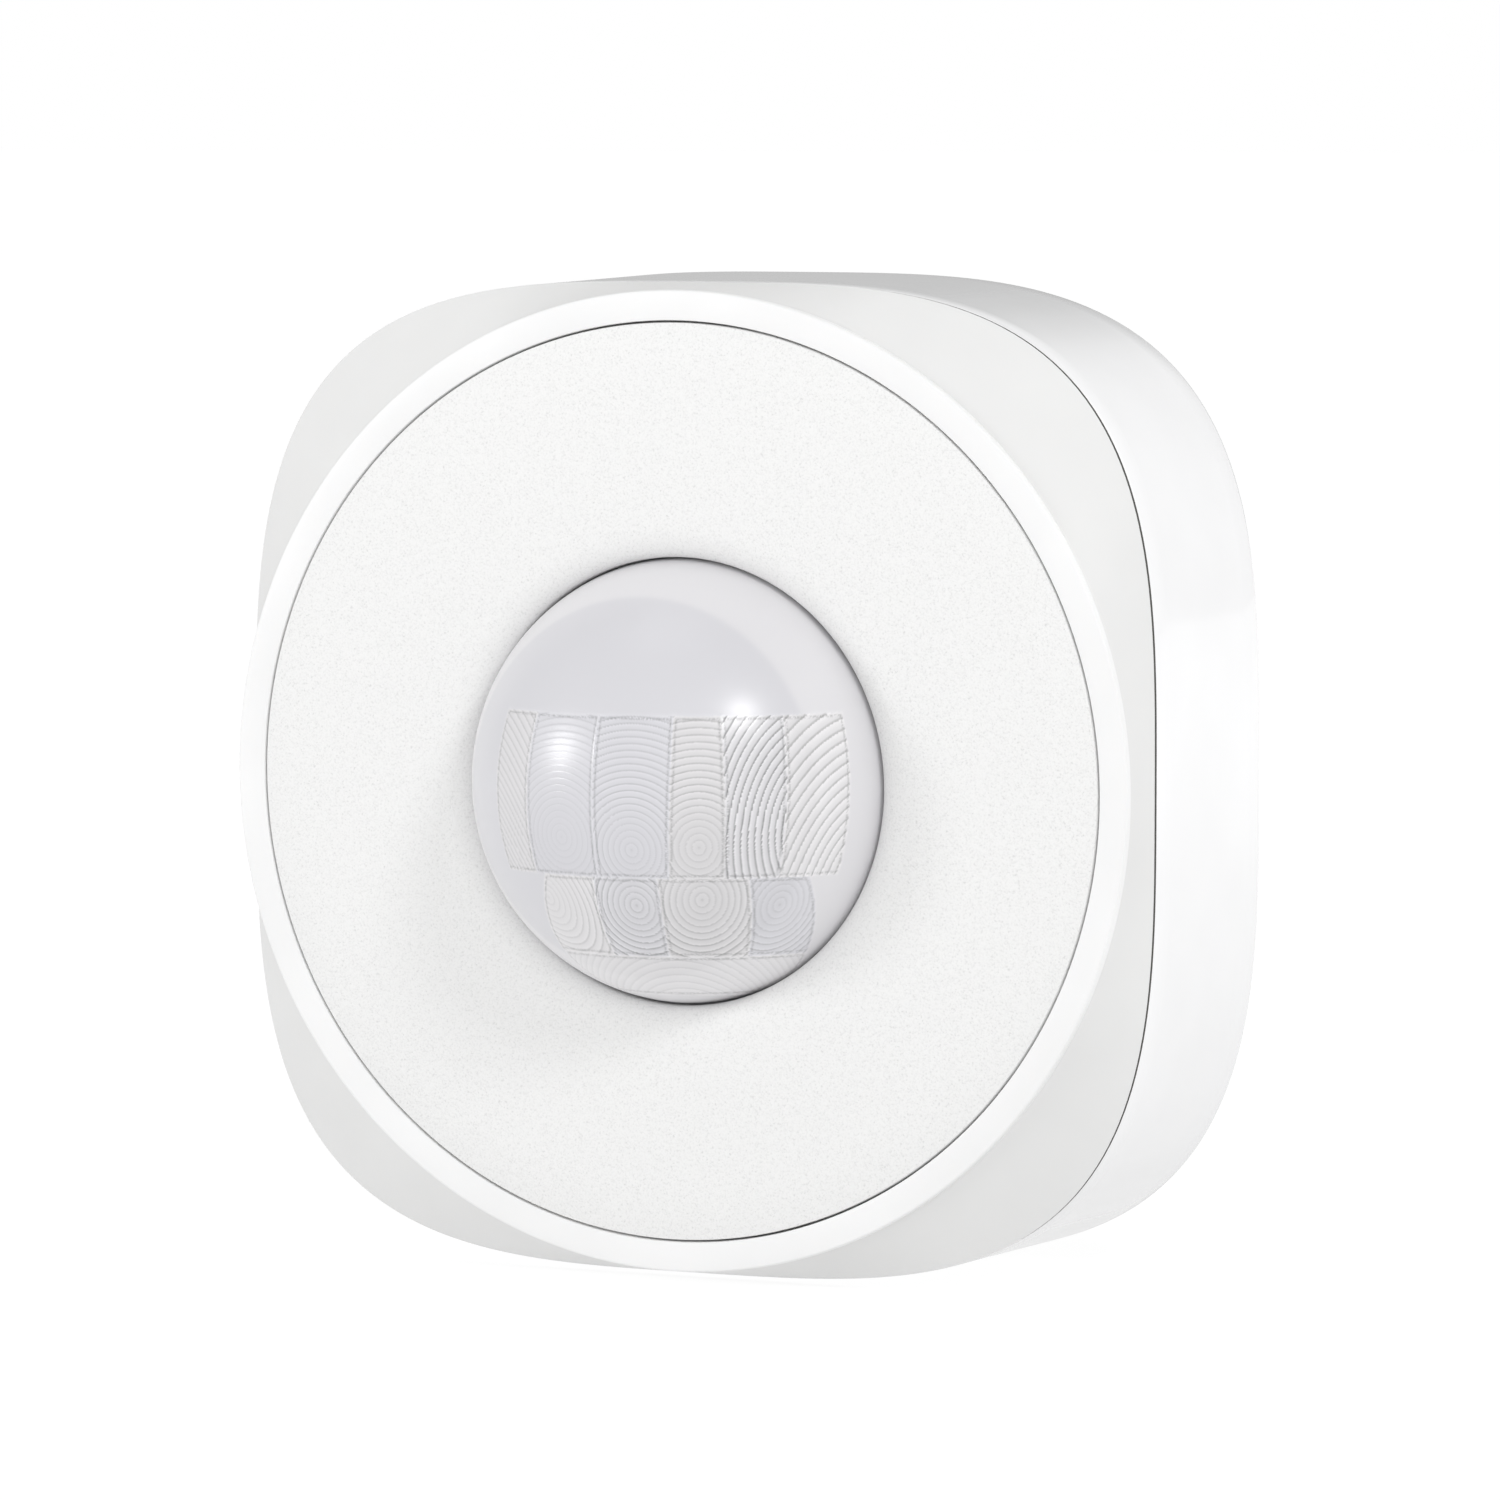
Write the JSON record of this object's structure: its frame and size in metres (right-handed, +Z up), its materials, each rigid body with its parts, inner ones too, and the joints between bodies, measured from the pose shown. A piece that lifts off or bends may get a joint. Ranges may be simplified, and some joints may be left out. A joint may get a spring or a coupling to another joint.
{
  "type": "motion sensor",
  "caption": "Compact white infrared motion sensor with a round face, a domed faceted lens, a glossy rounded-square band, a clip-on back cover and a slide-on wall bracket.",
  "frame": {"origin": "centre of the wall bracket's rear face, on the lens axis", "axes": "+Y into the wall (the front faces -Y), +Z up, +X to the right seen from the front"},
  "size_m": [0.0606, 0.0305, 0.0606],
  "materials": {
    "front_white": "satin",
    "face_texture": "matte",
    "lens_milk": "satin",
    "inner_white": "matte",
    "seam_rubber": "matte",
    "band_gloss": "gloss",
    "screw_steel": "satin",
    "board_green": "satin",
    "can_steel": "satin",
    "filter_dark": "gloss",
    "lead_metal": "satin",
    "led_red": "gloss",
    "chip_black": "matte",
    "shield_steel": "satin",
    "capacitor_body": "satin",
    "trace_copper": "satin",
    "holder_black": "matte",
    "cell_steel": "satin",
    "contact_metal": "satin",
    "switch_black": "matte",
    "plunger_white": "satin",
    "switch_steel": "satin",
    "cover_white": "satin",
    "bracket_white": "satin"
  },
  "bodies": {
    "sensor_body": {"front_shell": "front_white", "face_disc": "face_texture", "fresnel_lens": "lens_milk", "lens_retainer": "inner_white", "seam_gasket": "seam_rubber", "rear_housing": "band_gloss", "housing_screws": "screw_steel", "circuit_board": "board_green", "board_screws": "screw_steel", "pir_sensor": "can_steel", "pir_window": "filter_dark", "pir_leads": "lead_metal", "status_led": "led_red", "microcontroller": "chip_black", "radio_module": "shield_steel", "capacitors": "capacitor_body", "chip_components": "chip_black", "antenna_trace": "trace_copper", "battery_holder": "holder_black", "battery": "cell_steel", "battery_clip": "contact_metal", "battery_contact": "contact_metal", "tamper_switch_body": "switch_black", "learn_switch_body": "switch_steel", "power_switch_body": "switch_steel"},
    "cover": {"back_cover": "cover_white"},
    "bracket": {"wall_bracket": "bracket_white"},
    "tamper": {"tamper_plunger": "plunger_white"},
    "learn": {"learn_button": "switch_black"},
    "power": {"power_switch_knob": "switch_black"}
  },
  "joints": [
    {"name": "cover_pull", "type": "slide", "parent": "sensor_body", "child": "cover", "axis": [0, 1, 0], "range_m": [0, 0.03]},
    {"name": "bracket_slide", "type": "slide", "parent": "cover", "child": "bracket", "axis": [0, 0, -1], "range_m": [0, 0.008]},
    {"name": "tamper_travel", "type": "slide", "parent": "sensor_body", "child": "tamper", "axis": [0, 1, 0], "range_m": [0, 0.0012]},
    {"name": "learn_press", "type": "slide", "parent": "sensor_body", "child": "learn", "axis": [0, -1, 0], "range_m": [0, 0.0003], "stiffness_N_per_m": 200, "springref_m": -0.0005},
    {"name": "power_slide", "type": "slide", "parent": "sensor_body", "child": "power", "axis": [1, 0, 0], "range_m": [0, 0.002]}
  ],
  "couplings": [
    {"joint": "tamper_travel", "follows": "cover_pull", "ratio": 0.04}
  ]
}
